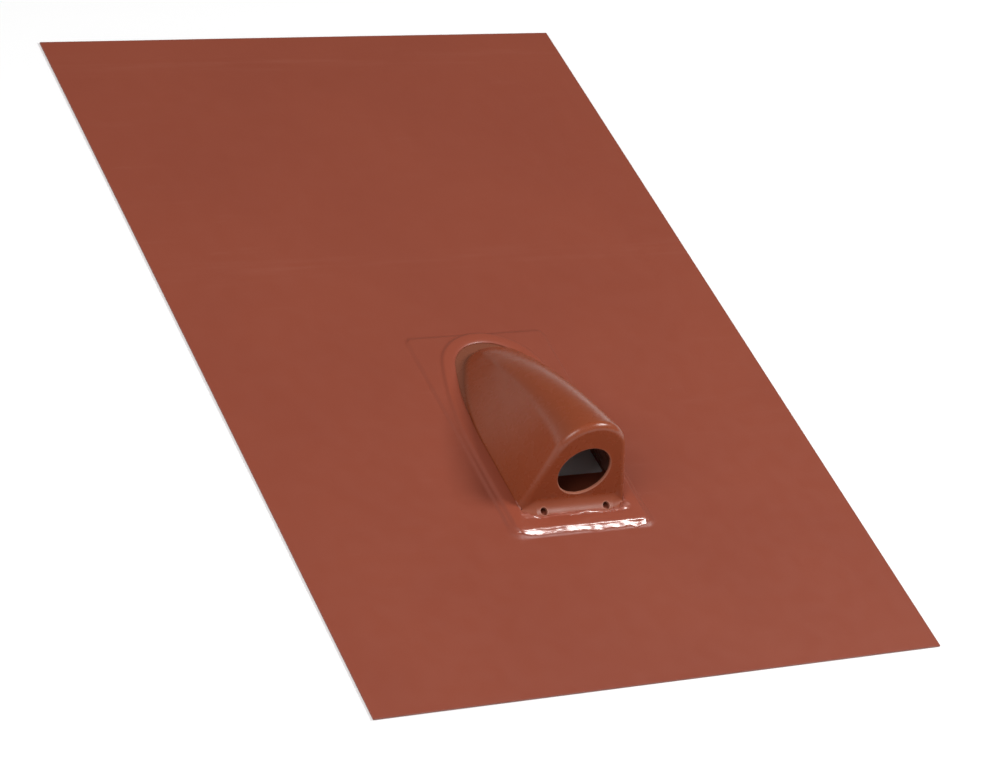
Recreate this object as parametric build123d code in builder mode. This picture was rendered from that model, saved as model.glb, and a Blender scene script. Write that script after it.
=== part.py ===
from build123d import *
import os
from math import atan2, cos, degrees, radians, sin, sqrt, tan

# Pipe boot for a pitched roof: a moulded hood on a thin base plate, set into a flexible membrane sheet.
# The origin is the middle of the sheet, on its underside. +Y runs up the slope, +Z points away from the
# roof, and the round opening looks down the slope, to -Y. Lengths are in millimetres, angles in degrees.

# Membrane sheet
sheet_width = 550
sheet_length = 850
sheet_thickness = 1.5
hood_setback = 201.5  # from the sheet's lower edge to the foot of the hood's front face
plate_drape = 4  # how far the sheet runs out as it drops off the base plate
lip_drape = 7  # how far it runs out as it drops off the hood's lip
cut_side_gap = 0.3  # from the foot of the dome to the sheet's cut edge, at the sides
cut_rear_gap = 9.5
cut_front_gap = 0.5  # from the toe of the hood's foot to the sheet's cut edge
cut_nose_fullness = 0.74  # nose radius of the cut in plan, as a share of its half width
cut_corner_radius = 6

# Base plate
plate_thickness = 2
plate_side_margin = 5  # plate left beyond the lip
plate_front_margin = 4
plate_rear_margin = 1
plate_corner_radius = 4
floor_depth = 37  # floor left standing behind the hood's front face
floor_corner_radius = 5

# Hood
hood_width = 107
hood_height = 91.5
hood_length = 196.5
hood_wall = 2.5
side_draft = 16
waist_lean = 5  # extra draft of the sides halfway along the ridge
face_tilt = 4.5
face_edge_radius = 5.5
straight_run = 80  # front stretch over which the sides run parallel in plan
nose_fullness = 0.6  # nose radius of the dome in plan, as a share of its half width
ridge_radius = 580
nose_length = 28  # stretch of the ridge that rounds over to the nose
nose_height = 29
lip_thickness = 2
lip_overlap = 9.5  # how far the sheet laps over the lip, at the sides and the rear
lip_front_overlap = 12.5
lip_corner_radius = 5

# Hollow foot between the hood's front face and its lip
foot_radius = 12
foot_end_radius = 1.5
foot_end_gap = 3.5  # from the hood's side to the end of the foot
foot_end_length = 12  # stretch over which the foot dies away

# Openings in the hood
opening_diameter = 50
opening_sill = 15.1  # from the hood's underside to the lowest point of the opening
opening_bevel = 0.6
drain_diameter = 7
drain_spacing = 62
drain_slope = 28  # slope of the foot's surface at the drain holes

# Places that follow from the sizes above
cut_through = 1  # how far a cut runs past the face it opens
rear_stations = (0.08, 0.25, 0.42, 0.57, 0.71, 0.82, 0.9, 0.955, 0.985, 0.996)  # sections along the ridge
draft = radians(side_draft)
tilt = radians(face_tilt)
front_y = hood_setback - sheet_length / 2
nose_y = front_y + hood_length
plan_centre_y = front_y + straight_run
hood_z = plate_thickness
lip_top_z = hood_z + lip_thickness
nose_radius = nose_fullness * hood_width / 2
foot_spread = tan((radians(90) - tilt) / 2)  # run of the foot along the lip, as a share of its radius
foot_start_y = front_y + lip_thickness * tan(tilt)
toe_y = foot_start_y - foot_radius * foot_spread
cut_half_width = hood_width / 2 + cut_side_gap
cut_front_y = toe_y - cut_front_gap
cut_rear_y = nose_y + cut_rear_gap
cut_nose_radius = cut_nose_fullness * cut_half_width
lip_half_width = cut_half_width + lip_overlap
lip_front_y = cut_front_y - lip_front_overlap
lip_rear_y = cut_rear_y + lip_overlap
lip_nose_radius = cut_nose_radius + lip_overlap
plate_width = 2 * (lip_half_width + plate_side_margin)
plate_front_y = lip_front_y - plate_front_margin
plate_rear_y = lip_rear_y + plate_rear_margin
plate_length = plate_rear_y - plate_front_y
plate_centre_y = (plate_rear_y + plate_front_y) / 2
face_plane = Plane((0, front_y, hood_z), x_dir=(1, 0, 0), z_dir=(0, -cos(tilt), sin(tilt)))


def flank(half_width, rear_y, radius):
    """Radius and sweep of the long arcs that lead from the parallel sides into the nose arc in plan."""
    reach = rear_y - radius - plan_centre_y
    long_radius = (half_width**2 + reach**2 - radius**2) / (2 * (half_width - radius))
    return long_radius, atan2(reach, long_radius - half_width)


def plan_half_width(y, half_width, rear_y, radius):
    """Half width in plan at y: parallel sides, long arcs, then the nose arc."""
    long_radius, sweep = flank(half_width, rear_y, radius)
    if y < plan_centre_y:
        return half_width
    if y < plan_centre_y + long_radius * sin(sweep):
        return half_width - long_radius + sqrt(long_radius**2 - (y - plan_centre_y) ** 2)
    return sqrt(radius**2 - (y - rear_y + radius) ** 2)


def plan_outline(half_width, rear_y, radius, start_y, corner_radius):
    """Face in plan: a straight front with rounded corners, parallel sides, long arcs and a round nose."""
    long_radius, sweep = flank(half_width, rear_y, radius)
    sweep_angle = degrees(sweep)
    with BuildSketch() as outline:
        with BuildLine():
            CenterArc((half_width - long_radius, plan_centre_y), long_radius, 0, sweep_angle)
            CenterArc((0, rear_y - radius), radius, sweep_angle, 180 - 2 * sweep_angle)
            CenterArc((long_radius - half_width, plan_centre_y), long_radius, 180 - sweep_angle, sweep_angle)
            Polyline(
                (-half_width, plan_centre_y),
                (-half_width, start_y),
                (half_width, start_y),
                (half_width, plan_centre_y),
            )
        make_face()
        fillet(outline.vertices().group_by(Axis.Y)[0], radius=corner_radius)
    return outline.sketch


def dome(inset):
    """Solid dome, smaller than the hood's outside by the inset, lofted through arches along its ridge."""
    half_width = hood_width / 2 - inset / cos(draft)
    height = hood_height - inset
    face_y = front_y + inset / cos(tilt)
    rear_y = nose_y - inset

    with BuildLine(Plane.YZ) as ridge:
        crest = (face_y + height * tan(tilt), height)
        shoulder = (rear_y - nose_length, nose_height - inset / 2)
        back = RadiusArc(crest, shoulder, ridge_radius)
        TangentArc(shoulder, (rear_y, 0), tangent=back % 1)
    ridge_wire = ridge.wires()[0]

    sections = [(face_plane.offset(-inset), 1, 1 / cos(tilt), draft)]
    for station in rear_stations:
        point = ridge_wire @ station
        plane = Plane((0, point.Y, hood_z), x_dir=(1, 0, 0), z_dir=(0, -1, 0))
        width_scale = plan_half_width(point.Y, half_width, rear_y, nose_radius - inset) / half_width
        lean = draft + radians(waist_lean) * sin(radians(180) * station)
        sections.append((plane, width_scale, point.Z / height, lean))

    with BuildPart() as body:
        for plane, width_scale, height_scale, lean in sections:
            crown_radius = (half_width * cos(lean) - height * sin(lean)) / (1 - sin(lean))
            flare = cut_through * tan(lean) * width_scale / height_scale
            base_half_width = half_width * width_scale + flare
            with BuildSketch(plane):
                with BuildLine():
                    crown = EllipticalCenterArc(
                        (0, (height - crown_radius) * height_scale),
                        crown_radius * width_scale,
                        crown_radius * height_scale,
                        start_angle=degrees(lean),
                        arc_size=180 - 2 * degrees(lean),
                    )
                    Polyline(
                        crown @ 1,
                        (-base_half_width, -cut_through),
                        (base_half_width, -cut_through),
                        crown @ 0,
                    )
                make_face()
        loft()
        face_edges = body.faces().filter_by(GeomType.PLANE).sort_by(Axis.Y)[0].edges().sort_by(Axis.Z)
        if inset > 0:
            chamfer(face_edges[1:], length=(face_edge_radius - inset) * (2 - sqrt(2)))
        else:
            fillet(face_edges[1:], radius=face_edge_radius)
    return body.part


def foot(inset):
    """Fill with a hollow curve below the front face, dying away at its ends, smaller by the inset."""
    end_x = hood_width / 2 - foot_end_gap - inset
    full_x = end_x - foot_end_length
    with BuildPart() as fill:
        for x, radius in (
            (-end_x, foot_end_radius),
            (-full_x, foot_radius),
            (full_x, foot_radius),
            (end_x, foot_end_radius),
        ):
            centre_y = foot_start_y - radius * foot_spread
            centre_z = lip_top_z + radius
            reach = radius + inset
            top = (centre_y + reach * cos(tilt), centre_z - reach * sin(tilt))
            toe = (centre_y, centre_z - reach)
            middle_angle = (radians(90) + tilt) / 2
            middle = (centre_y + reach * cos(middle_angle), centre_z - reach * sin(middle_angle))
            back_y = foot_start_y + inset + hood_wall
            base_z = toe[1] - cut_through
            with BuildSketch(Plane.YZ.offset(x)):
                with BuildLine():
                    ThreePointArc(toe, middle, top)
                    Polyline(top, (back_y, top[1]), (back_y, base_z), (centre_y, base_z), toe)
                make_face()
        loft(ruled=True)
    return fill.part


dome_outside = dome(0)
dome_cavity = dome(hood_wall)
foot_outside = foot(0)
foot_cavity = foot(hood_wall)

with BuildPart() as hood:
    add(dome_outside)
    split(bisect_by=Plane.XY.offset(hood_z), keep=Keep.TOP)
    with BuildSketch(Plane.XY.offset(hood_z)):
        add(plan_outline(lip_half_width, lip_rear_y, lip_nose_radius, lip_front_y, lip_corner_radius))
    extrude(amount=lip_thickness)
    add(foot_outside)
    add(dome_cavity, mode=Mode.SUBTRACT)
    add(foot_cavity, mode=Mode.SUBTRACT)
    with BuildSketch(face_plane):
        with Locations((0, opening_sill + opening_diameter / 2)):
            Circle(opening_diameter / 2)
    extrude(amount=-2 * hood_wall, mode=Mode.SUBTRACT)
    rim_edges = hood.edges().filter_by(GeomType.CIRCLE).filter_by(
        lambda edge: abs(edge.radius - opening_diameter / 2) < hood_wall / 10
    )
    chamfer(rim_edges.sort_by(Axis.Y)[0], length=opening_bevel)
    drain_angle = radians(drain_slope)
    drain_plane = Plane(
        (0, toe_y + foot_radius * sin(drain_angle), lip_top_z + foot_radius * (1 - cos(drain_angle))),
        x_dir=(1, 0, 0),
        z_dir=(0, -sin(drain_angle), cos(drain_angle)),
    )
    with BuildSketch(drain_plane):
        with GridLocations(drain_spacing, 0, 2, 1):
            Circle(drain_diameter / 2)
    extrude(amount=2 * hood_wall, both=True, mode=Mode.SUBTRACT)
hood.part.label = "hood"

with BuildPart() as base_plate:
    with BuildSketch():
        with Locations((0, plate_centre_y)):
            RectangleRounded(plate_width, plate_length, plate_corner_radius)
    extrude(amount=plate_thickness)
    with BuildSketch():
        add(
            plan_outline(
                hood_width / 2 - hood_wall / cos(draft),
                nose_y - hood_wall,
                nose_radius - hood_wall,
                front_y + floor_depth,
                floor_corner_radius,
            )
        )
    extrude(amount=plate_thickness, mode=Mode.SUBTRACT)
base_plate.part.label = "base_plate"

with BuildPart() as plate_cover:
    for height, run_out in ((0, plate_drape), (plate_thickness, 0)):
        with BuildSketch(Plane.XY.offset(height)):
            with Locations((0, plate_centre_y)):
                RectangleRounded(
                    plate_width + 2 * run_out, plate_length + 2 * run_out, plate_corner_radius + run_out
                )
    loft(ruled=True)

with BuildPart() as lip_cover:
    for height, run_out in ((0, lip_drape), (lip_top_z, 0)):
        with BuildSketch(Plane.XY.offset(height)):
            add(
                plan_outline(
                    lip_half_width + run_out,
                    lip_rear_y + run_out,
                    lip_nose_radius + run_out,
                    lip_front_y - run_out,
                    lip_corner_radius + run_out,
                )
            )
    loft(ruled=True)

with BuildPart() as membrane_sheet:
    with BuildSketch():
        Rectangle(sheet_width, sheet_length)
    extrude(amount=sheet_thickness)
    with Locations((0, 0, sheet_thickness)):
        add(plate_cover.part)
        add(lip_cover.part)
    add(plate_cover.part, mode=Mode.SUBTRACT)
    add(lip_cover.part, mode=Mode.SUBTRACT)
    with BuildSketch():
        add(plan_outline(cut_half_width, cut_rear_y, cut_nose_radius, cut_front_y, cut_corner_radius))
    extrude(amount=lip_top_z + sheet_thickness + cut_through, mode=Mode.SUBTRACT)
membrane_sheet.part.label = "membrane_sheet"

os.makedirs("parts", exist_ok=True)
export_step(hood.part, "parts/hood.step")
export_step(base_plate.part, "parts/base_plate.step")
export_step(membrane_sheet.part, "parts/membrane_sheet.step")
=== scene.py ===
from math import atan2, cos, exp, hypot, pi, radians, sin, sqrt, tan

import bpy
from bpy.props import FloatProperty, FloatVectorProperty, PointerProperty
from mathutils import Euler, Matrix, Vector, noise
from mathutils.bvhtree import BVHTree


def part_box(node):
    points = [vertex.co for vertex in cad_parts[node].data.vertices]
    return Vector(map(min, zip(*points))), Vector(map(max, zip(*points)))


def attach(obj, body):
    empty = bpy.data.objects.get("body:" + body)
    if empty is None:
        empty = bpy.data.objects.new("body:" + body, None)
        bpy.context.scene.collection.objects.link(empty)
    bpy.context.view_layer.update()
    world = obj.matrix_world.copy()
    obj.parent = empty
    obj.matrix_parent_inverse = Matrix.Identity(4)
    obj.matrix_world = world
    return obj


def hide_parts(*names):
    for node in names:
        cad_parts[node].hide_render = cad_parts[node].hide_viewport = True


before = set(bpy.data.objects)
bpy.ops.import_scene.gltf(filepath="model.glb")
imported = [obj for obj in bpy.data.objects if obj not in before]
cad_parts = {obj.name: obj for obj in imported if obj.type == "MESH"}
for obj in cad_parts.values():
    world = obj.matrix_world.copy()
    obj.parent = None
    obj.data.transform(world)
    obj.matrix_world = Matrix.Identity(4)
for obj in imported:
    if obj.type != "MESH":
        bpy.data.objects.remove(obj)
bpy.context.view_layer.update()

bl_info = {
    "name": "Pipe boot",
    "version": (1, 0, 0),
    "blender": (4, 5, 0),
    "location": "View3D > Sidebar > Pipe boot",
    "description": "Dresses the pipe boot: membrane sheet, weld seams, moulded hood, base plate and studio",
    "category": "Object",
}

# Lengths are in metres, in the part's own frame: +Y up the slope, +Z away from the roof.
HOOD_LOW, HOOD_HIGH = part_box("hood")
PLATE_LOW, PLATE_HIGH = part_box("base_plate")
SHEET_LOW, SHEET_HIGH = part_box("membrane_sheet")
PLATE_TOP = PLATE_HIGH.z
PLATE_CORNER = 0.004

# The hood's lip in plan: straight front, parallel sides, long flank arcs and a round nose.
LIP_THICKNESS = 0.002
LIP_TOP = HOOD_LOW.z + LIP_THICKNESS
LIP_OVERLAP = 0.0095
LIP_FRONT_OVERLAP = 0.0125
LIP_CORNER = 0.005
PLAN_CENTRE_Y = -0.1435

# The sheet's cut-out: the same plan, further in by the sheet's overlap on the lip.
CUT_HALF_WIDTH = HOOD_HIGH.x - LIP_OVERLAP
CUT_FRONT = HOOD_LOW.y + LIP_FRONT_OVERLAP
CUT_REAR = HOOD_HIGH.y - LIP_OVERLAP
CUT_NOSE_SHARE = 0.74
CUT_NOSE_RADIUS = CUT_NOSE_SHARE * CUT_HALF_WIDTH
CUT_NOSE_Y = CUT_REAR - CUT_NOSE_RADIUS
CUT_CORNER = 0.006

# The round opening and the drain holes in the hood.
OPENING_CENTRE = (0.0, -0.22035, 0.04198)
OPENING_AXIS = (0.0, -0.99692, 0.07846)
OPENING_RADIUS = 0.025
DRAIN_CENTRES = ((-0.031, -0.2288, 0.0054), (0.031, -0.2288, 0.0054))
DRAIN_AXIS = (0.0, -0.46947, 0.88295)
DRAIN_RADIUS = 0.0035


def settings():
    """Sizes and colours that a user would change."""
    return bpy.context.scene.pipe_boot


def smooth(value):
    """Smooth step from 0 to 1."""
    t = min(1.0, max(0.0, value))
    return t * t * t * (t * (6 * t - 15) + 10)


def waver(x, y, z):
    """Smooth noise round zero at a place. Each use has its own slice, picked by a plain number."""
    return noise.noise(Vector((x, y, z)))


def bulges(value, places):
    """Sum of smooth bulges, each given by its place and its width."""
    return sum(exp(-(((value - place) / width) ** 2)) for place, width in places)


def between(first, second, share):
    """Point in plan on the line from the first point to the second."""
    return first[0] + (second[0] - first[0]) * share, first[1] + (second[1] - first[1]) * share


def box_distance(x, y, half_x, low_y, high_y, corner):
    """Signed distance to a rectangle with rounded corners."""
    dx = abs(x) - half_x + corner
    dy = abs(y - (low_y + high_y) / 2) - (high_y - low_y) / 2 + corner
    return hypot(max(dx, 0), max(dy, 0)) + min(max(dx, dy), 0) - corner


def flank(half_width, rear_y, radius):
    """Radius and sweep of the long arcs between the parallel sides and the nose arc."""
    reach = rear_y - radius - PLAN_CENTRE_Y
    long_radius = (half_width**2 + reach**2 - radius**2) / (2 * (half_width - radius))
    return long_radius, atan2(reach, long_radius - half_width)


CUT_FLANK_RADIUS, CUT_SWEEP = flank(CUT_HALF_WIDTH, CUT_REAR, CUT_NOSE_RADIUS)


def cut_distance(x, y):
    """Signed distance outside the sheet's cut edge."""
    x = abs(x)
    if y > PLAN_CENTRE_Y:
        if atan2(y - PLAN_CENTRE_Y, x - CUT_HALF_WIDTH + CUT_FLANK_RADIUS) < CUT_SWEEP:
            return hypot(x - CUT_HALF_WIDTH + CUT_FLANK_RADIUS, y - PLAN_CENTRE_Y) - CUT_FLANK_RADIUS
        return hypot(x, y - CUT_NOSE_Y) - CUT_NOSE_RADIUS
    return box_distance(x, y, CUT_HALF_WIDTH, CUT_FRONT, 2 * PLAN_CENTRE_Y - CUT_FRONT, CUT_CORNER)


def lip_distance(x, y):
    """Signed distance outside the hood's lip, whose front stands further out than its sides."""
    if y > PLAN_CENTRE_Y:
        return cut_distance(x, y) - LIP_OVERLAP
    half = CUT_HALF_WIDTH + LIP_OVERLAP
    return box_distance(x, y, half, HOOD_LOW.y, 2 * PLAN_CENTRE_Y - HOOD_LOW.y, LIP_CORNER)


def plate_distance(x, y):
    """Signed distance outside the base plate."""
    return box_distance(x, y, PLATE_HIGH.x, PLATE_LOW.y, PLATE_HIGH.y, PLATE_CORNER)


# The drape: where its slopes start, how far it fills the valley between them, and its unevenness.
PLATE_EASE = 0.0006
LIP_EASE = 0.0008
VALLEY_FILL = 0.25
LEAST_RISE = 1e-6
RIPPLE_START = 0.02
RIPPLE_RUN = 0.12
RIPPLE_LEVEL = 0.75
RIPPLE_SWING = 0.5
PUCKER_HEIGHT = 0.00018
PUCKER_REACH = 0.012
PUCKER_PITCH = 70.0


def membrane_top(x, y):
    """Height of the sheet's upper face: flat, draped over the plate's edge and again over the lip."""
    sheet = settings().membrane
    lip = lip_distance(x, y)
    plate = plate_distance(x, y)
    over_plate = PLATE_TOP * (1 - smooth((plate + PLATE_EASE) / sheet.plate_drape))
    over_lip = LIP_TOP * (1 - smooth((lip + LIP_EASE) / sheet.lip_drape))
    rise = max(over_plate, over_lip)
    near = min(over_plate, over_lip)
    rise += VALLEY_FILL * near * near / max(rise, LEAST_RISE) * (1 - near / max(rise, LEAST_RISE))
    crown = sheet.band_crown * smooth(1 - abs(lip + 0.5 * LIP_OVERLAP) / LIP_OVERLAP)
    far = smooth((plate - RIPPLE_START) / RIPPLE_RUN)
    waves = waver(x * 5.0, y * 3.5, 0.3) + 0.5 * waver(x * 11.0, y * 8.0, 4.1)
    ripple = sheet.ripple * (RIPPLE_LEVEL + RIPPLE_SWING * waves) * far
    pucker = PUCKER_HEIGHT * waver(x * PUCKER_PITCH, y * PUCKER_PITCH, 1.7)
    pucker *= exp(-((plate / PUCKER_REACH) ** 2))
    return sheet.thickness + rise + crown + ripple + pucker


# Points on each stretch of half the cut outline.
FRONT_STEPS = 40
CORNER_STEPS = 12
SIDE_STEPS = 52
FLANK_STEPS = 60
NOSE_STEPS = 44


def both_halves(points):
    """Closed outline from its right half, which runs from the middle of the front to the rear."""
    return points + [(-x, y) for x, y in reversed(points[1:-1])]


def cut_outline(offset):
    """Points round the cut edge, moved outwards by the offset."""
    points = []
    corner_x = CUT_HALF_WIDTH - CUT_CORNER
    corner_y = CUT_FRONT + CUT_CORNER
    for i in range(FRONT_STEPS):
        points.append((corner_x * i / FRONT_STEPS, CUT_FRONT - offset))
    for i in range(CORNER_STEPS):
        a = -pi / 2 + pi / 2 * i / CORNER_STEPS
        r = CUT_CORNER + offset
        points.append((corner_x + r * cos(a), corner_y + r * sin(a)))
    for i in range(SIDE_STEPS):
        y = corner_y + (PLAN_CENTRE_Y - corner_y) * i / SIDE_STEPS
        points.append((CUT_HALF_WIDTH + offset, y))
    for i in range(FLANK_STEPS):
        a = CUT_SWEEP * i / FLANK_STEPS
        r = CUT_FLANK_RADIUS + offset
        points.append((CUT_HALF_WIDTH - CUT_FLANK_RADIUS + r * cos(a), PLAN_CENTRE_Y + r * sin(a)))
    for i in range(NOSE_STEPS + 1):
        a = CUT_SWEEP + (pi / 2 - CUT_SWEEP) * i / NOSE_STEPS
        r = CUT_NOSE_RADIUS + offset
        points.append((r * cos(a), CUT_NOSE_Y + r * sin(a)))
    return both_halves(points)


def sheet_edge():
    """Points on the sheet's straight outer edge, one for each point of the cut outline."""
    half_x, low_y, high_y = SHEET_HIGH.x, SHEET_LOW.y, SHEET_HIGH.y
    first = FRONT_STEPS + CORNER_STEPS // 2
    second = first + CORNER_STEPS - CORNER_STEPS // 2 + SIDE_STEPS + FLANK_STEPS + NOSE_STEPS // 3
    last = FRONT_STEPS + CORNER_STEPS + SIDE_STEPS + FLANK_STEPS + NOSE_STEPS
    points = []
    for i in range(last + 1):
        if i < first:
            points.append((half_x * i / first, low_y))
        elif i < second:
            points.append((half_x, low_y + (high_y - low_y) * (i - first) / (second - first)))
        else:
            points.append((half_x * (last - i) / (last - second), high_y))
    return both_halves(points)


def mesh_object(name, vertices, faces, material, flat_faces=()):
    """Mesh object from vertices and faces, smooth apart from the flat faces, linked to the scene."""
    mesh = bpy.data.meshes.new(name)
    mesh.from_pydata(vertices, [], faces)
    mesh.validate()
    mesh.shade_smooth()
    for index in flat_faces:
        mesh.polygons[index].use_smooth = False
    mesh.materials.append(material)
    thing = bpy.data.objects.new(name, mesh)
    bpy.context.scene.collection.objects.link(thing)
    return thing


class Nodes:
    """Short way to add and join shader nodes in one material."""

    def __init__(self, name):
        self.material = bpy.data.materials.new(name)
        self.material.use_nodes = True
        self.tree = self.material.node_tree
        self.tree.nodes.clear()
        self.output = self.add("ShaderNodeOutputMaterial")

    def add(self, kind, **values):
        """New node with its own settings."""
        node = self.tree.nodes.new(kind)
        for key, value in values.items():
            setattr(node, key, value)
        return node

    def link(self, source, target):
        """Join an output to an input."""
        self.tree.links.new(source, target)

    def feed(self, socket, value):
        """Join an output to a socket, or set a plain value on it."""
        if isinstance(value, bpy.types.NodeSocket):
            self.link(value, socket)
        else:
            socket.default_value = value

    def position(self):
        """Place on the object, in its own frame."""
        return self.add("ShaderNodeTexCoord").outputs["Object"]

    def split(self):
        """X, Y and Z of the place on the object."""
        node = self.add("ShaderNodeSeparateXYZ")
        self.link(self.position(), node.inputs["Vector"])
        return node.outputs

    def noise(self, scale, detail=3.0, roughness=0.5, stretch=(1, 1, 1)):
        """Cloudy noise, drawn out across the stretched axes."""
        mapping = self.add("ShaderNodeMapping")
        self.link(self.position(), mapping.inputs["Vector"])
        mapping.inputs["Scale"].default_value = stretch
        texture = self.add("ShaderNodeTexNoise")
        self.link(mapping.outputs["Vector"], texture.inputs["Vector"])
        for name, value in (("Scale", scale), ("Detail", detail), ("Roughness", roughness)):
            texture.inputs[name].default_value = value
        return texture.outputs["Fac"]

    def ramp(self, value, low, high, to_low=0.0, to_high=1.0):
        """Smooth change from one value to another between two limits."""
        node = self.add("ShaderNodeMapRange", interpolation_type="SMOOTHSTEP")
        self.link(value, node.inputs["Value"])
        limits = (("From Min", low), ("From Max", high), ("To Min", to_low), ("To Max", to_high))
        for name, number in limits:
            node.inputs[name].default_value = number
        return node.outputs["Result"]

    def math(self, operation, first, second=0.0):
        """One sum on outputs or plain values."""
        node = self.add("ShaderNodeMath", operation=operation)
        for socket, value in zip(node.inputs, (first, second)):
            self.feed(socket, value)
        return node.outputs["Value"]

    def mix(self, factor, first, second):
        """Colour between two colours."""
        node = self.add("ShaderNodeMix", data_type="RGBA")
        for name, value in (("Factor_Float", factor), ("A_Color", first), ("B_Color", second)):
            self.feed(next(s for s in node.inputs if s.identifier == name), value)
        return next(s for s in node.outputs if s.identifier == "Result_Color")

    def bump(self, height, strength, distance):
        """Normal of a fine grain."""
        node = self.add("ShaderNodeBump")
        self.link(height, node.inputs["Height"])
        node.inputs["Strength"].default_value = strength
        node.inputs["Distance"].default_value = distance
        return node.outputs["Normal"]

    def axis_distance(self, centre, axis):
        """Distance from a line through the centre along the axis."""
        away = self.add("ShaderNodeVectorMath", operation="SUBTRACT")
        self.link(self.position(), away.inputs[0])
        away.inputs[1].default_value = centre
        across = self.add("ShaderNodeVectorMath", operation="CROSS_PRODUCT")
        self.link(away.outputs["Vector"], across.inputs[0])
        across.inputs[1].default_value = axis
        length = self.add("ShaderNodeVectorMath", operation="LENGTH")
        self.link(across.outputs["Vector"], length.inputs[0])
        return length.outputs["Value"]

    def surface(self, shader):
        """The material, with the shader as its surface."""
        self.link(shader.outputs[0], self.output.inputs["Surface"])
        return self.material


def rgba(colour):
    """Opaque colour, as the sockets take it."""
    return (*colour, 1.0)


# Marks on the sheet: two faint creases across it, scuffs, the weld band, whose lighter colour is partly the
# weld's own and partly painted light on the raised band, and specks of dust.
CREASE_LEVELS = (0.095, 0.388)
CREASE_WIDTH = 0.024
CREASE_SHARE = 0.5
SCUFF_SHARE = 0.5
WELD_LIGHT_SHARE = 0.55
BAND_GLOSS = 0.1
SPECK_SCALE = 42.0
SPECK_SHARE = 0.5
GRAIN_DEPTH = 0.0004


def speck_mask(kit):
    """Sparse small dots: a few of the cells of a fine cell pattern."""
    cells = kit.add("ShaderNodeTexVoronoi", feature="F1")
    kit.link(kit.position(), cells.inputs["Vector"])
    cells.inputs["Scale"].default_value = SPECK_SCALE
    pick = kit.add("ShaderNodeSeparateColor")
    kit.link(cells.outputs["Color"], pick.inputs["Color"])
    small = kit.ramp(cells.outputs["Distance"], 0.02, 0.045, 1.0, 0.0)
    chosen = kit.ramp(pick.outputs["Red"], 0.955, 0.96)
    return kit.math("MULTIPLY", kit.math("MULTIPLY", small, chosen), SPECK_SHARE)


def membrane_finish():
    """Satin roofing membrane: near even colour, faint scuffs, sparse specks and a glossier weld band, whose
    lighter colour is partly painted light.
    """
    values = settings().membrane
    kit = Nodes("membrane_satin")
    shader = kit.add("ShaderNodeBsdfPrincipled")
    cloudy = kit.noise(scale=6.0, detail=4.0, roughness=0.55)
    drawn = kit.noise(scale=9.0, detail=5.0, roughness=0.62, stretch=(1.0, 9.0, 1.0))
    patches = kit.ramp(kit.noise(scale=3.2, detail=2.0), 0.45, 0.7)
    scuffs = kit.math("MULTIPLY", kit.ramp(drawn, 0.56, 0.8), patches)
    along = kit.split()["Y"]
    streaks = kit.noise(scale=16.0, detail=4.0, roughness=0.6, stretch=(0.5, 8.0, 1.0))
    streaks = kit.ramp(streaks, 0.42, 0.75)
    for level in CREASE_LEVELS:
        away = kit.math("ABSOLUTE", kit.math("SUBTRACT", along, level))
        crease = kit.math("MULTIPLY", kit.ramp(away, 0.0, CREASE_WIDTH, CREASE_SHARE, 0.0), streaks)
        scuffs = kit.math("MAXIMUM", scuffs, crease)
    shade = kit.mix(kit.ramp(cloudy, 0.3, 0.7), rgba(values.colour_deep), rgba(values.colour))
    scuffed = kit.mix(kit.math("MULTIPLY", scuffs, SCUFF_SHARE), shade, rgba(values.colour_scuff))
    # The weld band's lighter colour is partly painted light: the raised band over the lip catches more
    # light.
    lit_weld_band = kit.add("ShaderNodeAttribute", attribute_name="weld_band_lit").outputs["Fac"]
    weld_lit = kit.mix(kit.math("MULTIPLY", lit_weld_band, WELD_LIGHT_SHARE), scuffed, rgba(values.colour_weld_lit))
    colour = kit.mix(speck_mask(kit), weld_lit, rgba(values.colour_speck))
    kit.link(colour, shader.inputs["Base Color"])
    haze = kit.noise(scale=55.0, detail=4.0)
    rough = kit.ramp(haze, 0.3, 0.7, values.roughness - 0.03, values.roughness + 0.05)
    rough = kit.math("SUBTRACT", rough, kit.math("MULTIPLY", lit_weld_band, BAND_GLOSS))
    kit.link(rough, shader.inputs["Roughness"])
    grain = kit.noise(scale=1400.0, detail=2.0)
    kit.link(kit.bump(grain, 0.06, GRAIN_DEPTH), shader.inputs["Normal"])
    shader.inputs["Specular IOR Level"].default_value = 0.42
    return kit.surface(shader)


SEAM_GRAIN_DEPTH = 0.0006


def seam_finish():
    """Molten seam: the membrane's own colour, run smooth and glossy."""
    values = settings().seam
    kit = Nodes("seam_gloss")
    shader = kit.add("ShaderNodeBsdfPrincipled")
    streaks = kit.noise(scale=160.0, stretch=(1.0, 2.5, 1.0))
    colour = kit.mix(kit.ramp(streaks, 0.3, 0.75), rgba(values.colour), rgba(values.colour_pale))
    kit.link(colour, shader.inputs["Base Color"])
    rough = kit.ramp(streaks, 0.2, 0.8, values.roughness, values.roughness + 0.08)
    kit.link(rough, shader.inputs["Roughness"])
    grain = kit.noise(scale=420.0)
    kit.link(kit.bump(grain, 0.12, SEAM_GRAIN_DEPTH), shader.inputs["Normal"])
    shader.inputs["Coat Weight"].default_value = 0.4
    shader.inputs["Coat Roughness"].default_value = 0.15
    return kit.surface(shader)


# Marks on the hood: pale rims of the openings, a duller foot, and painted shade on the lip behind the nose,
# in the recess between the dome and the sheet's edge.
RIM_SHARE = 0.4
OPENING_RIM = (OPENING_RADIUS + 0.0004, OPENING_RADIUS + 0.0013)
DRAIN_RIM = (DRAIN_RADIUS + 0.0002, DRAIN_RADIUS + 0.001)
FACE_BACK = -0.2165
FACE_FRONT = -0.2185
FOOT_HIGH = 0.014
FOOT_LOW = 0.009
LIP_SHADE_FRONT = -0.12
LIP_SHADE_FADE = 0.05
LIP_SHADE_RISE = 0.006


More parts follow.
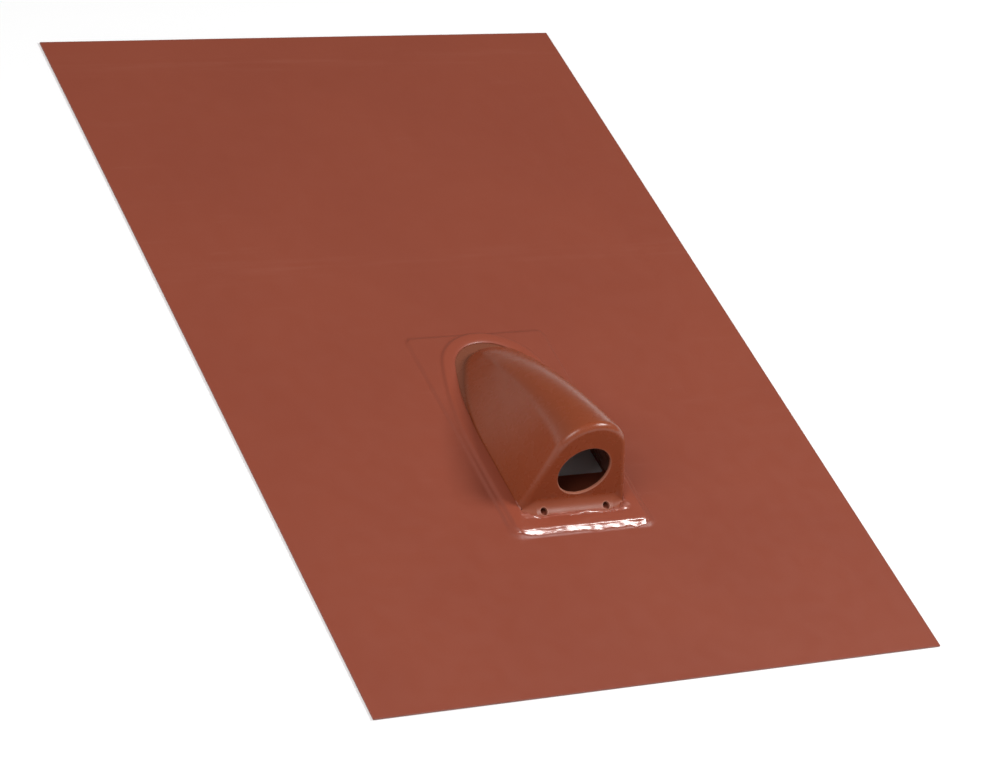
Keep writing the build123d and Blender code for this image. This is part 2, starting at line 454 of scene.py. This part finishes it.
def hood_finish():
    """Moulded plastic with a low gloss, slight flow clouds, pale rims where the openings were cut, and
    painted shade on the lip behind the nose.
    """
    values = settings().hood
    kit = Nodes("hood_plastic")
    shader = kit.add("ShaderNodeBsdfPrincipled")
    place = kit.split()
    flow = kit.noise(scale=14.0, detail=4.0, roughness=0.55, stretch=(1.0, 0.5, 1.0))
    body = kit.mix(kit.ramp(flow, 0.3, 0.7), rgba(values.colour_deep), rgba(values.colour))
    outside = kit.ramp(place["Y"], FACE_BACK, FACE_FRONT)
    opening = kit.axis_distance(OPENING_CENTRE, OPENING_AXIS)
    rims = kit.math("MULTIPLY", kit.ramp(opening, *OPENING_RIM, 1.0, 0.0), outside)
    for centre in DRAIN_CENTRES:
        drain = kit.axis_distance(centre, DRAIN_AXIS)
        rims = kit.math("MAXIMUM", rims, kit.ramp(drain, *DRAIN_RIM, 1.0, 0.0))
    # Painted shade: the lip's flat behind the nose is darkened for the shade in the recess between the dome
    # and the sheet's edge.
    rear = kit.ramp(place["Y"], LIP_SHADE_FRONT, LIP_SHADE_FRONT + LIP_SHADE_FADE)
    lip = kit.math("MULTIPLY", rear, kit.ramp(place["Z"], LIP_TOP + LIP_SHADE_RISE, LIP_TOP))
    shaded = kit.mix(lip, body, rgba(values.colour_lip_shade))
    colour = kit.mix(kit.math("MULTIPLY", rims, RIM_SHARE), shaded, rgba(values.colour_edge))
    kit.link(colour, shader.inputs["Base Color"])
    haze = kit.noise(scale=70.0, detail=4.0, roughness=0.6)
    rough = kit.ramp(haze, 0.3, 0.7, values.roughness - 0.02, values.roughness + 0.04)
    dull = kit.math("MULTIPLY", kit.ramp(place["Z"], FOOT_HIGH, FOOT_LOW), outside)
    rough = kit.math("ADD", rough, kit.math("MULTIPLY", dull, values.foot_dulling))
    kit.link(rough, shader.inputs["Roughness"])
    peel = kit.noise(scale=520.0, detail=2.0, roughness=0.4)
    kit.link(kit.bump(peel, 0.02, GRAIN_DEPTH), shader.inputs["Normal"])
    shader.inputs["Specular IOR Level"].default_value = 0.5
    return kit.surface(shader)


def plate_finish():
    """Plain moulded plate, duller than the hood."""
    values = settings().plate
    kit = Nodes("plate_plastic")
    shader = kit.add("ShaderNodeBsdfPrincipled")
    cloudy = kit.ramp(kit.noise(scale=20.0, detail=4.0, roughness=0.6), 0.3, 0.7)
    colour = kit.mix(cloudy, rgba(values.colour_deep), rgba(values.colour))
    kit.link(colour, shader.inputs["Base Color"])
    kit.link(kit.ramp(kit.noise(scale=90.0), 0.3, 0.7, 0.42, 0.55), shader.inputs["Roughness"])
    grain = kit.noise(scale=800.0, detail=2.0)
    kit.link(kit.bump(grain, 0.08, GRAIN_DEPTH), shader.inputs["Normal"])
    return kit.surface(shader)


# The floor glows a little for the eye alone, more so far away, and not under the sheet.
FLOOR_SIZE = 40.0
FLOOR_LEVEL = -0.0004
FLOOR_NEAR = 0.9
FLOOR_FAR = 2.6
FLOOR_TUCK = 0.004


def floor_finish():
    """Plain pale floor that still shows the object's shadow."""
    values = settings().stage
    kit = Nodes("pale_floor")
    shader = kit.add("ShaderNodeBsdfPrincipled")
    shader.inputs["Base Color"].default_value = rgba(values.floor_colour)
    shader.inputs["Roughness"].default_value = 0.9
    shader.inputs["Specular IOR Level"].default_value = 0.0
    shader.inputs["Emission Color"].default_value = rgba(values.floor_colour)
    path = kit.add("ShaderNodeLightPath").outputs
    seen = kit.math("MAXIMUM", path["Is Camera Ray"], path["Is Glossy Ray"])
    seen = kit.math("MAXIMUM", seen, path["Is Transmission Ray"])
    place = kit.split()
    beside = kit.math("GREATER_THAN", kit.math("ABSOLUTE", place["X"]), SHEET_HIGH.x - FLOOR_TUCK)
    beyond = kit.math("GREATER_THAN", kit.math("ABSOLUTE", place["Y"]), SHEET_HIGH.y - FLOOR_TUCK)
    reach = kit.add("ShaderNodeVectorMath", operation="LENGTH")
    kit.link(kit.position(), reach.inputs[0])
    reach = reach.outputs["Value"]
    glow = kit.ramp(reach, FLOOR_NEAR, FLOOR_FAR, values.floor_glow, values.far_glow)
    clear = kit.math("MULTIPLY", kit.math("MAXIMUM", beside, beyond), glow)
    kit.link(kit.math("MULTIPLY", seen, clear), shader.inputs["Emission Strength"])
    return kit.surface(shader)


def colour_property(name, description, default):
    """Colour of a finish."""
    return FloatVectorProperty(
        name=name, description=description, default=default, subtype="COLOR", size=3, min=0.0, max=1.0
    )


def length_property(name, description, default):
    """Length in metres."""
    return FloatProperty(name=name, description=description, default=default, unit="LENGTH", min=0.0)


def factor_property(name, description, default):
    """Share or strength."""
    return FloatProperty(name=name, description=description, default=default, subtype="FACTOR")


def power_property(name, description, default):
    """Power of a lamp in watts."""
    return FloatProperty(name=name, description=description, default=default, unit="POWER")


class MembraneSettings(bpy.types.PropertyGroup):
    """Sizes and colours of the membrane sheet."""

    thickness: length_property("Thickness", "Thickness of the sheet", 0.0015)
    plate_drape: length_property("Plate drape", "Run-out of the sheet beside the base plate", 0.0045)
    lip_drape: length_property("Lip drape", "Run-out of the sheet beside the hood's lip", 0.0075)
    band_crown: length_property("Band crown", "Rounding of the weld band over the lip", 0.0004)
    ripple: length_property("Ripple", "Gentle waves of the sheet away from the hood", 0.0004)
    colour: colour_property("Colour", "Main colour of the sheet", (0.269, 0.0595, 0.031))
    colour_deep: colour_property("Deep colour", "Darker clouds in the sheet", (0.257, 0.0555, 0.029))
    colour_scuff: colour_property("Scuff colour", "Faint pale scuffs", (0.33, 0.1, 0.065))
    # Lighter colour of the weld band, partly the weld's own and partly painted light on the raised band.
    colour_weld_lit: colour_property("Weld colour", "Heated band beside the hood", (0.31, 0.068, 0.035))
    colour_speck: colour_property("Speck colour", "Sparse specks of dust", (0.5, 0.26, 0.2))
    roughness: factor_property("Roughness", "Gloss of the sheet", 0.45)


class SeamSettings(bpy.types.PropertyGroup):
    """Shape and colours of the molten seams."""

    height: length_property("Height", "Thickness of the molten run at the toe", 0.0008)
    front_reach: length_property("Front reach", "Width of the molten run below the lip", 0.0062)
    front_slope: FloatProperty(
        name="Front slope", description="Slope of the molten run", default=radians(25), subtype="ANGLE"
    )
    colour: colour_property("Colour", "Main colour of the seam", (0.3, 0.07, 0.04))
    colour_pale: colour_property("Pale colour", "Pale streaks in the seam", (0.42, 0.15, 0.11))
    roughness: factor_property("Roughness", "Gloss of the seam", 0.2)


class HoodSettings(bpy.types.PropertyGroup):
    """Colours and gloss of the moulded hood."""

    colour: colour_property("Colour", "Main colour of the hood", (0.264, 0.055, 0.0185))
    colour_deep: colour_property("Deep colour", "Darker flow clouds", (0.25, 0.051, 0.0165))
    colour_edge: colour_property("Edge colour", "Pale cut edges of the openings", (0.5, 0.24, 0.17))
    # Painted shade on the hood's lip behind the nose, in its recess.
    colour_lip_shade: colour_property("Lip colour", "Darker lip behind the nose", (0.205, 0.062, 0.032))
    roughness: factor_property("Roughness", "Gloss of the hood", 0.26)
    foot_dulling: factor_property("Foot dulling", "Gloss lost on the foot", 0.22)


class PlateSettings(bpy.types.PropertyGroup):
    """Colours of the base plate."""

    colour: colour_property("Colour", "Main colour of the plate", (0.22, 0.05, 0.024))
    colour_deep: colour_property("Deep colour", "Darker clouds in the plate", (0.18, 0.04, 0.019))


class StageSettings(bpy.types.PropertyGroup):
    """Floor, light and camera."""

    floor_colour: colour_property("Floor colour", "Colour of the floor", (0.78, 0.78, 0.78))
    floor_glow: factor_property("Floor glow", "Lift of the floor towards white round the sheet", 0.3)
    far_glow: factor_property("Far glow", "Lift of the floor towards white far from the sheet", 0.85)
    sky_low: factor_property("Low sky", "Strength of the even light near the floor", 0.8)
    sky_high: factor_property("High sky", "Strength of the even light overhead", 0.44)
    sky_rear: factor_property("Rear sky", "Share of the even light left behind", 0.3)
    right_lamp: power_property("Right lamp", "Power of the right lamp", 57.0)
    left_lamp: power_property("Left lamp", "Power of the left lamp", 32.0)
    right_size: length_property("Right lamp size", "Side of the square right lamp", 0.8)
    left_size: length_property("Left lamp size", "Side of the square left lamp", 1.4)
    camera_place: FloatVectorProperty(
        name="Camera place",
        description="Where the camera stands",
        default=(-1.44237, -1.8874, 1.86334),
        subtype="TRANSLATION",
        unit="LENGTH",
    )
    camera_turn: FloatVectorProperty(
        name="Camera turn",
        description="How the camera is turned",
        default=(radians(49.2127), radians(-16.9819), radians(-24.2164)),
        subtype="EULER",
    )
    lens: FloatProperty(
        name="Lens", description="Focal length in millimetres", default=120.396, unit="CAMERA"
    )


class PipeBootSettings(bpy.types.PropertyGroup):
    """Everything that a user would change."""

    membrane: PointerProperty(type=MembraneSettings, name="Membrane", description="The membrane sheet")
    seam: PointerProperty(type=SeamSettings, name="Seams", description="The molten seams")
    hood: PointerProperty(type=HoodSettings, name="Hood", description="The moulded hood")
    plate: PointerProperty(type=PlateSettings, name="Plate", description="The base plate")
    stage: PointerProperty(type=StageSettings, name="Stage", description="Floor, light and camera")


# Rings of the sheet's mesh. Those at the cut edge are closest, and round it over towards the hood.
EDGE_INSET = 0.0011
EDGE_DEPTH = 0.0013
EDGE_RADIUS = 0.0003
REAR_EDGE_RADIUS = 0.006
REAR_EDGE_START = -0.12
REAR_EDGE_RUN = 0.07
RING_OFFSETS = (-EDGE_INSET, -0.00095, -0.0008, -0.0005, 0.0, 0.0006, 0.0012, 0.002)
FINE_STEP = 0.001
FINE_REACH = 0.05
OUTER_SHARES = (0.03, 0.07, 0.12, 0.18, 0.25, 0.33, 0.42, 0.52, 0.63, 0.75, 0.88, 0.985, 0.9985, 1.0)
BAND_START = 0.001
BAND_FADE = 0.006


def sheet_rings():
    """Rings of points from the cut edge to the sheet's outer edge, and their offsets from the cut."""
    offsets = list(RING_OFFSETS)
    while offsets[-1] < FINE_REACH:
        offsets.append(offsets[-1] + FINE_STEP)
    rings = [cut_outline(offset) for offset in offsets]
    inner, outer = rings[-1], sheet_edge()
    for share in OUTER_SHARES:
        rings.append([between(a, b, share) for a, b in zip(inner, outer)])
        offsets.append(FINE_REACH)
    return rings, offsets


def edge_drop(y, offset):
    """Fall of the upper face at the cut edge, which is rounder beside the flanks and the nose."""
    rear = smooth((y - REAR_EDGE_START) / REAR_EDGE_RUN)
    radius = EDGE_RADIUS + (REAR_EDGE_RADIUS - EDGE_RADIUS) * rear
    inward = max(0.0, 1 - (offset + EDGE_INSET) / radius)
    return min(EDGE_DEPTH, radius) * (1 - sqrt(1 - inward**2))


def sheet_faces(ring_count, count):
    """Faces of the closed sheet, and the range of those on its outer sides."""
    total = ring_count * count
    last = total - count
    faces = []
    for ring in range(ring_count - 1):
        for i in range(count):
            a, b = ring * count + i, ring * count + (i + 1) % count
            faces.append((a, a + count, b + count, b))
            faces.append((total + a, total + b, total + b + count, total + a + count))
    for i in range(count):
        j = (i + 1) % count
        faces.append((i, j, total + j, total + i))
    sides = range(len(faces), len(faces) + count)
    for i in range(count):
        j = (i + 1) % count
        faces.append((last + j, last + i, total + last + i, total + last + j))
    return faces, sides


class PIPEBOOT_OT_membrane(bpy.types.Operator):
    """Lay the membrane sheet over the base plate and the hood's lip"""

    bl_idname = "pipe_boot.membrane"
    bl_label = "Membrane sheet"

    def execute(self, context):
        thickness = settings().membrane.thickness
        rings, offsets = sheet_rings()
        top, bottom, lit_weld_band = [], [], []
        for ring, offset in zip(rings, offsets):
            for x, y in ring:
                height = membrane_top(x, y)
                top.append((x, y, height - edge_drop(y, offset)))
                bottom.append((x, y, max(0.0, height - thickness)))
                # Mask of the weld band, which carries its gloss and its painted light.
                lit_weld_band.append(smooth(1 - (lip_distance(x, y) + BAND_START) / BAND_FADE))
        opening = rings[0]
        faces, sides = sheet_faces(len(rings), len(opening))
        sheet = mesh_object("membrane", top + bottom, faces, membrane_finish(), sides)
        mask = sheet.data.attributes.new("weld_band_lit", "FLOAT", "POINT")
        mask.data.foreach_set("value", lit_weld_band + lit_weld_band)
        following = opening[1:] + opening[:1]
        shoelace = sum(a[0] * b[1] - b[0] * a[1] for a, b in zip(opening, following))
        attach(sheet, "root")
        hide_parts("membrane_sheet")
        return {"FINISHED"}


# Mesh of the molten runs, how deep they sink into what they lie on, and the shape of their edges.
SEAM_ALONG = 260
SEAM_ACROSS = 14
SEAM_SINK = 0.0005
INNER_EDGE = 0.1
OUTER_EDGE_START = 0.78
OUTER_EDGE_RUN = 0.22


def seam_run(name, inner, outer, heights, material):
    """Molten run between two lines in plan: a closed skin with its own upper and lower heights."""
    upper, lower = [], []
    for i in range(SEAM_ALONG + 1):
        s = i / SEAM_ALONG
        start, end = inner(s), outer(s)
        for j in range(SEAM_ACROSS + 1):
            t = j / SEAM_ACROSS
            x, y = between(start, end, t)
            top, bottom = heights(s, t, x, y)
            upper.append((x, y, top))
            lower.append((x, y, bottom))
    row = SEAM_ACROSS + 1
    total = len(upper)
    faces = []
    for i in range(SEAM_ALONG):
        for j in range(SEAM_ACROSS):
            a = i * row + j
            faces.append((a, a + 1, a + row + 1, a + row))
            faces.append((total + a, total + a + row, total + a + row + 1, total + a + 1))
        a = i * row
        faces.append((a, a + row, total + a + row, total + a))
        b = a + SEAM_ACROSS
        faces.append((b + row, b, total + b, total + b + row))
    for j in range(SEAM_ACROSS):
        faces.append((j + 1, j, total + j, total + j + 1))
        a = SEAM_ALONG * row + j
        faces.append((a, a + 1, total + a + 1, total + a))
    return mesh_object(name, upper + lower, faces, material)


def round_edge(t):
    """Fall-off of a molten run towards its two edges."""
    outward = max(0.0, (t - OUTER_EDGE_START) / OUTER_EDGE_RUN)
    return smooth(t / INNER_EDGE) * sqrt(max(0.0, 1 - outward**2))


# The front run: its ends, its wavy edges with two wider stretches, and its thickness.
FRONT_OVERHANG = 0.0025
FRONT_LEFT_FADE = 0.07
FRONT_RIGHT_FADE = 0.05
FRONT_START = 0.0008
FRONT_START_WAVER = 0.0003
FRONT_START_PULL = 0.0009
FRONT_LEAST = 0.0012
FRONT_BULGES = ((0.66, 0.16), (0.9, 0.05))
FRONT_SLOPE_WAVER = 0.1
FRONT_LIFT = 0.0002
FRONT_LUMP = 0.0002
FRONT_FILM = 0.00012
FRONT_FEATHER = 0.00008


def front_seam(name, material):
    """Run that fills the hollow below the front of the lip, with a wavy lower edge."""
    values = settings().seam
    half = HOOD_HIGH.x + FRONT_OVERHANG

    def fade(s):
        return smooth(s / FRONT_LEFT_FADE) * smooth((1 - s) / FRONT_RIGHT_FADE)

    def inner(s):
        wander = FRONT_START_WAVER * waver(s * 6.0, 0.4, 9.0)
        y = HOOD_LOW.y + FRONT_START + wander - FRONT_START_PULL * (1 - fade(s))
        return -half + 2 * half * s, y

    def outer(s):
        slow = waver(s * 8.0, 2.3, 0.0)
        quick = waver(s * 21.0, 5.1, 0.0)
        full = bulges(s, FRONT_BULGES)
        reach = values.front_reach * (0.8 + 0.3 * slow + 0.2 * quick + 0.25 * full)
        y = HOOD_LOW.y - FRONT_LEAST - (reach - FRONT_LEAST) * fade(s)
        return -half + 2 * half * s, y

    def heights(s, t, x, y):
        base = membrane_top(x, y)
        start = inner(s)
        slope = values.front_slope + FRONT_SLOPE_WAVER * waver(s * 11.0, t * 1.2, 7.7)
        ramp = membrane_top(*start) + FRONT_LIFT - tan(slope) * (start[1] - y)
        lump = FRONT_LUMP * waver(s * 20.0, t * 1.9, 3.2)
        thick = max(FRONT_FILM, ramp - base) + lump * fade(s)
        return base + max(0.0, thick) * round_edge(t) - FRONT_FEATHER, base - SEAM_SINK

    return seam_run(name, inner, outer, heights, material)


# The toe run: how far it climbs the foot, less at the drain holes and more at the corners, and its dabs.
TOE_MARGIN = 0.0004
TOE_LEAST = 0.0006
TOE_WAVER = 0.0006
FOOT_CLIMB = 0.0042
FOOT_LIMIT = 0.0066
FOOT_SINK = 0.0004
DRAIN_PULL = 0.0038
DRAIN_CLEAR = 0.0036
DRAIN_RUN = 0.003
CORNER_CLIMBS = ((0.005, 0.043, 0.005), (0.013, 0.0495, 0.003))
TOE_SPREAD = 0.0013
TOE_SPREAD_WAVER = 0.0007
TOE_FLARE = 0.02
TOE_FLARE_START = 0.046
TOE_FLARE_RUN = 0.006
TOE_FEATHER = 0.00006
LEAST_CLIMB = 1e-5
DAB_PLACES = ((-0.0455, 0.005), (0.008, 0.011), (0.034, 0.003), (0.0475, 0.0045))
DAB_SWELL = 2.2
TOE_SWELL = 0.12
TOE_SWELL_ROUNDING = 0.7
LOOK_FROM = 0.2


def hood_surface():
    """Lookup of the hood's height from above."""
    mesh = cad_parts["hood"].data
    tree = BVHTree.FromPolygons([v.co for v in mesh.vertices], [p.vertices for p in mesh.polygons])

    def height(x, y):
        hit = tree.ray_cast(Vector((x, y, LOOK_FROM)), Vector((0, 0, -1)))[0]
        return hit.z if hit else LIP_TOP

    return height


def toe_seam(name, material):
    """Run along the sheet's front edge, creeping up the hood's foot round the drain holes."""
    values = settings().seam
    half = CUT_HALF_WIDTH - TOE_MARGIN
    hood_at = hood_surface()

    def edge_y(x):
        turn = min(CUT_CORNER, max(0.0, abs(x) - CUT_HALF_WIDTH + CUT_CORNER))
        return CUT_FRONT + CUT_CORNER - sqrt(CUT_CORNER**2 - turn**2)

    def inner(s):
        x = -half + 2 * half * s
        drain = min(abs(x - centre[0]) for centre in DRAIN_CENTRES)
        climb = FOOT_CLIMB - DRAIN_PULL * (1 - smooth((drain - DRAIN_CLEAR) / DRAIN_RUN))
        climb += sum(rise * smooth((abs(x) - start) / run) for rise, start, run in CORNER_CLIMBS)
        climb += TOE_WAVER * waver(s * 18.0, 6.1, 0.0)
        return x, max(CUT_FRONT + climb, edge_y(x) + TOE_LEAST)

    def outer(s):
        x = -half + 2 * half * s
        spread = TOE_SPREAD + TOE_SPREAD_WAVER * waver(s * 14.0, 8.3, 0.0)
        flare = 1 + TOE_FLARE * smooth((abs(x) - TOE_FLARE_START) / TOE_FLARE_RUN)
        return x * flare, edge_y(x) - spread

    def heights(s, t, x, y):
        front = edge_y(min(half, max(-half, x)))
        edge = membrane_top(x, front)
        if y < front:
            surface = membrane_top(x, y)
            bottom = surface - SEAM_SINK
        else:
            foot = min(hood_at(x, y), FOOT_LIMIT)
            share = smooth((y - front) / max(inner(s)[1] - front, LEAST_CLIMB))
            surface = max(foot, edge + (foot - edge) * share)
            bottom = foot - FOOT_SINK
        lump = waver(s * 13.0, t * 0.8, 2.4)
        swell = values.height * (TOE_SWELL + TOE_SWELL * lump + DAB_SWELL * bulges(x, DAB_PLACES))
        swell *= (4 * t * (1 - t)) ** TOE_SWELL_ROUNDING
        return surface + max(0.0, swell) - TOE_FEATHER, bottom

    return seam_run(name, inner, outer, heights, material)


class PIPEBOOT_OT_seams(bpy.types.Operator):
    """Run the molten seams along the front of the lip and along the toe of the hood"""

    bl_idname = "pipe_boot.seams"
    bl_label = "Weld seams"

    def execute(self, context):
        gloss = seam_finish()
        for seam in (front_seam("seam_front", gloss), toe_seam("seam_toe", gloss)):
            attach(seam, "root")
        return {"FINISHED"}


def dress(node, material):
    """Give a CAD node its finish."""
    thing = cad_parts[node]
    thing.data.materials.clear()
    thing.data.materials.append(material)
    return thing


class PIPEBOOT_OT_hood(bpy.types.Operator):
    """Give the hood its moulded plastic finish"""

    bl_idname = "pipe_boot.hood"
    bl_label = "Hood"

    def execute(self, context):
        dress("hood", hood_finish())
        return {"FINISHED"}


class PIPEBOOT_OT_plate(bpy.types.Operator):
    """Give the base plate its finish"""

    bl_idname = "pipe_boot.plate"
    bl_label = "Base plate"

    def execute(self, context):
        dress("base_plate", plate_finish())
        return {"FINISHED"}


# Two soft lamps, and an even light that falls off overhead and towards the rear right.
LAMP_AIM = Vector((0.0, -0.23, 0.04))
RIGHT_LAMP_PLACE = (1.69, -0.65, 2.27)
LEFT_LAMP_PLACE = (-1.71, -0.68, 1.99)
SKY_AXIS = (0.8, 0.6, 0.0)
SKY_SPREAD = (-0.7, 0.7)
UP_AXIS = (0.0, 0.0, 1.0)
SKY_RISE = (0.0, 0.25)
WHITE = (1.0, 1.0, 1.0)
SENSOR_WIDTH = 36.0
CLIP_END = 100.0


def lamp(name, place, power, size):
    """Square soft lamp that looks at the hood."""
    data = bpy.data.lights.new(name, "AREA")
    data.shape = "SQUARE"
    data.size = size
    data.energy = power
    thing = bpy.data.objects.new(name, data)
    thing.location = place
    thing.rotation_euler = (LAMP_AIM - Vector(place)).to_track_quat("-Z", "Y").to_euler()
    bpy.context.scene.collection.objects.link(thing)


def sky_fade(tree, heading, axis, limits, ends):
    """Smooth change of the even light along an axis."""
    share = tree.nodes.new("ShaderNodeVectorMath")
    share.operation = "DOT_PRODUCT"
    share.inputs[1].default_value = axis
    tree.links.new(heading.outputs["Generated"], share.inputs[0])
    fade = tree.nodes.new("ShaderNodeMapRange")
    fade.interpolation_type = "SMOOTHSTEP"
    tree.links.new(share.outputs["Value"], fade.inputs["Value"])
    fade.inputs["From Min"].default_value, fade.inputs["From Max"].default_value = limits
    fade.inputs["To Min"].default_value, fade.inputs["To Max"].default_value = ends
    return fade.outputs["Result"]


def studio_world(values):
    """Even white light of the studio."""
    world = bpy.data.worlds.new("studio")
    world.use_nodes = True
    tree = world.node_tree
    light = tree.nodes["Background"]
    light.inputs["Color"].default_value = rgba(WHITE)
    heading = tree.nodes.new("ShaderNodeTexCoord")
    spread = sky_fade(tree, heading, SKY_AXIS, SKY_SPREAD, (1.0, values.sky_rear))
    rise = sky_fade(tree, heading, UP_AXIS, SKY_RISE, (values.sky_low, values.sky_high))
    strength = tree.nodes.new("ShaderNodeMath")
    strength.operation = "MULTIPLY"
    tree.links.new(spread, strength.inputs[0])
    tree.links.new(rise, strength.inputs[1])
    tree.links.new(strength.outputs["Value"], light.inputs["Strength"])
    return world


def studio_camera(values):
    """Camera on the left, above the front of the sheet."""
    data = bpy.data.cameras.new("camera")
    data.sensor_fit = "HORIZONTAL"
    data.sensor_width = SENSOR_WIDTH
    data.lens = values.lens
    data.clip_end = CLIP_END
    camera = bpy.data.objects.new("camera", data)
    camera.location = values.camera_place
    camera.rotation_euler = Euler(values.camera_turn, "XYZ")
    bpy.context.scene.collection.objects.link(camera)
    return camera


class PIPEBOOT_OT_stage(bpy.types.Operator):
    """Set the floor, the lamps, the even light and the camera"""

    bl_idname = "pipe_boot.stage"
    bl_label = "Stage"

    def execute(self, context):
        values = settings().stage
        half = FLOOR_SIZE / 2
        corners = [(-half, -half, 0), (half, -half, 0), (half, half, 0), (-half, half, 0)]
        floor = mesh_object("floor", corners, [(0, 1, 2, 3)], floor_finish())
        floor.location.z = FLOOR_LEVEL
        context.scene.world = studio_world(values)
        lamp("right_lamp", RIGHT_LAMP_PLACE, values.right_lamp, values.right_size)
        lamp("left_lamp", LEFT_LAMP_PLACE, values.left_lamp, values.left_size)
        context.scene.camera = studio_camera(values)
        context.scene.view_settings.view_transform = "Standard"
        return {"FINISHED"}


STEPS = (
    (PIPEBOOT_OT_membrane, "membrane"),
    (PIPEBOOT_OT_seams, "seam"),
    (PIPEBOOT_OT_hood, "hood"),
    (PIPEBOOT_OT_plate, "plate"),
    (PIPEBOOT_OT_stage, "stage"),
)


class PIPEBOOT_PT_sidebar(bpy.types.Panel):
    """Steps and settings of the pipe boot"""

    bl_label = "Pipe boot"
    bl_idname = "PIPEBOOT_PT_sidebar"
    bl_space_type = "VIEW_3D"
    bl_region_type = "UI"
    bl_category = "Pipe boot"

    def draw(self, context):
        for step, group in STEPS:
            self.layout.operator(step.bl_idname)
            values = getattr(settings(), group)
            for name in values.bl_rna.properties.keys():
                if name not in ("rna_type", "name"):
                    self.layout.prop(values, name)


CLASSES = (
    MembraneSettings,
    SeamSettings,
    HoodSettings,
    PlateSettings,
    StageSettings,
    PipeBootSettings,
    *(step for step, group in STEPS),
    PIPEBOOT_PT_sidebar,
)


def register():
    """Add the classes, and the settings on the scene."""
    for item in CLASSES:
        bpy.utils.register_class(item)
    bpy.types.Scene.pipe_boot = PointerProperty(
        type=PipeBootSettings, name="Pipe boot", description="Everything that a user would change"
    )


def unregister():
    """Take the settings and the classes away again."""
    del bpy.types.Scene.pipe_boot
    for item in reversed(CLASSES):
        bpy.utils.unregister_class(item)


def main():
    """Build every piece in order."""
    register()
    bpy.ops.pipe_boot.membrane()
    bpy.ops.pipe_boot.seams()
    bpy.ops.pipe_boot.hood()
    bpy.ops.pipe_boot.plate()
    bpy.ops.pipe_boot.stage()


if __name__ == "__main__":
    main()
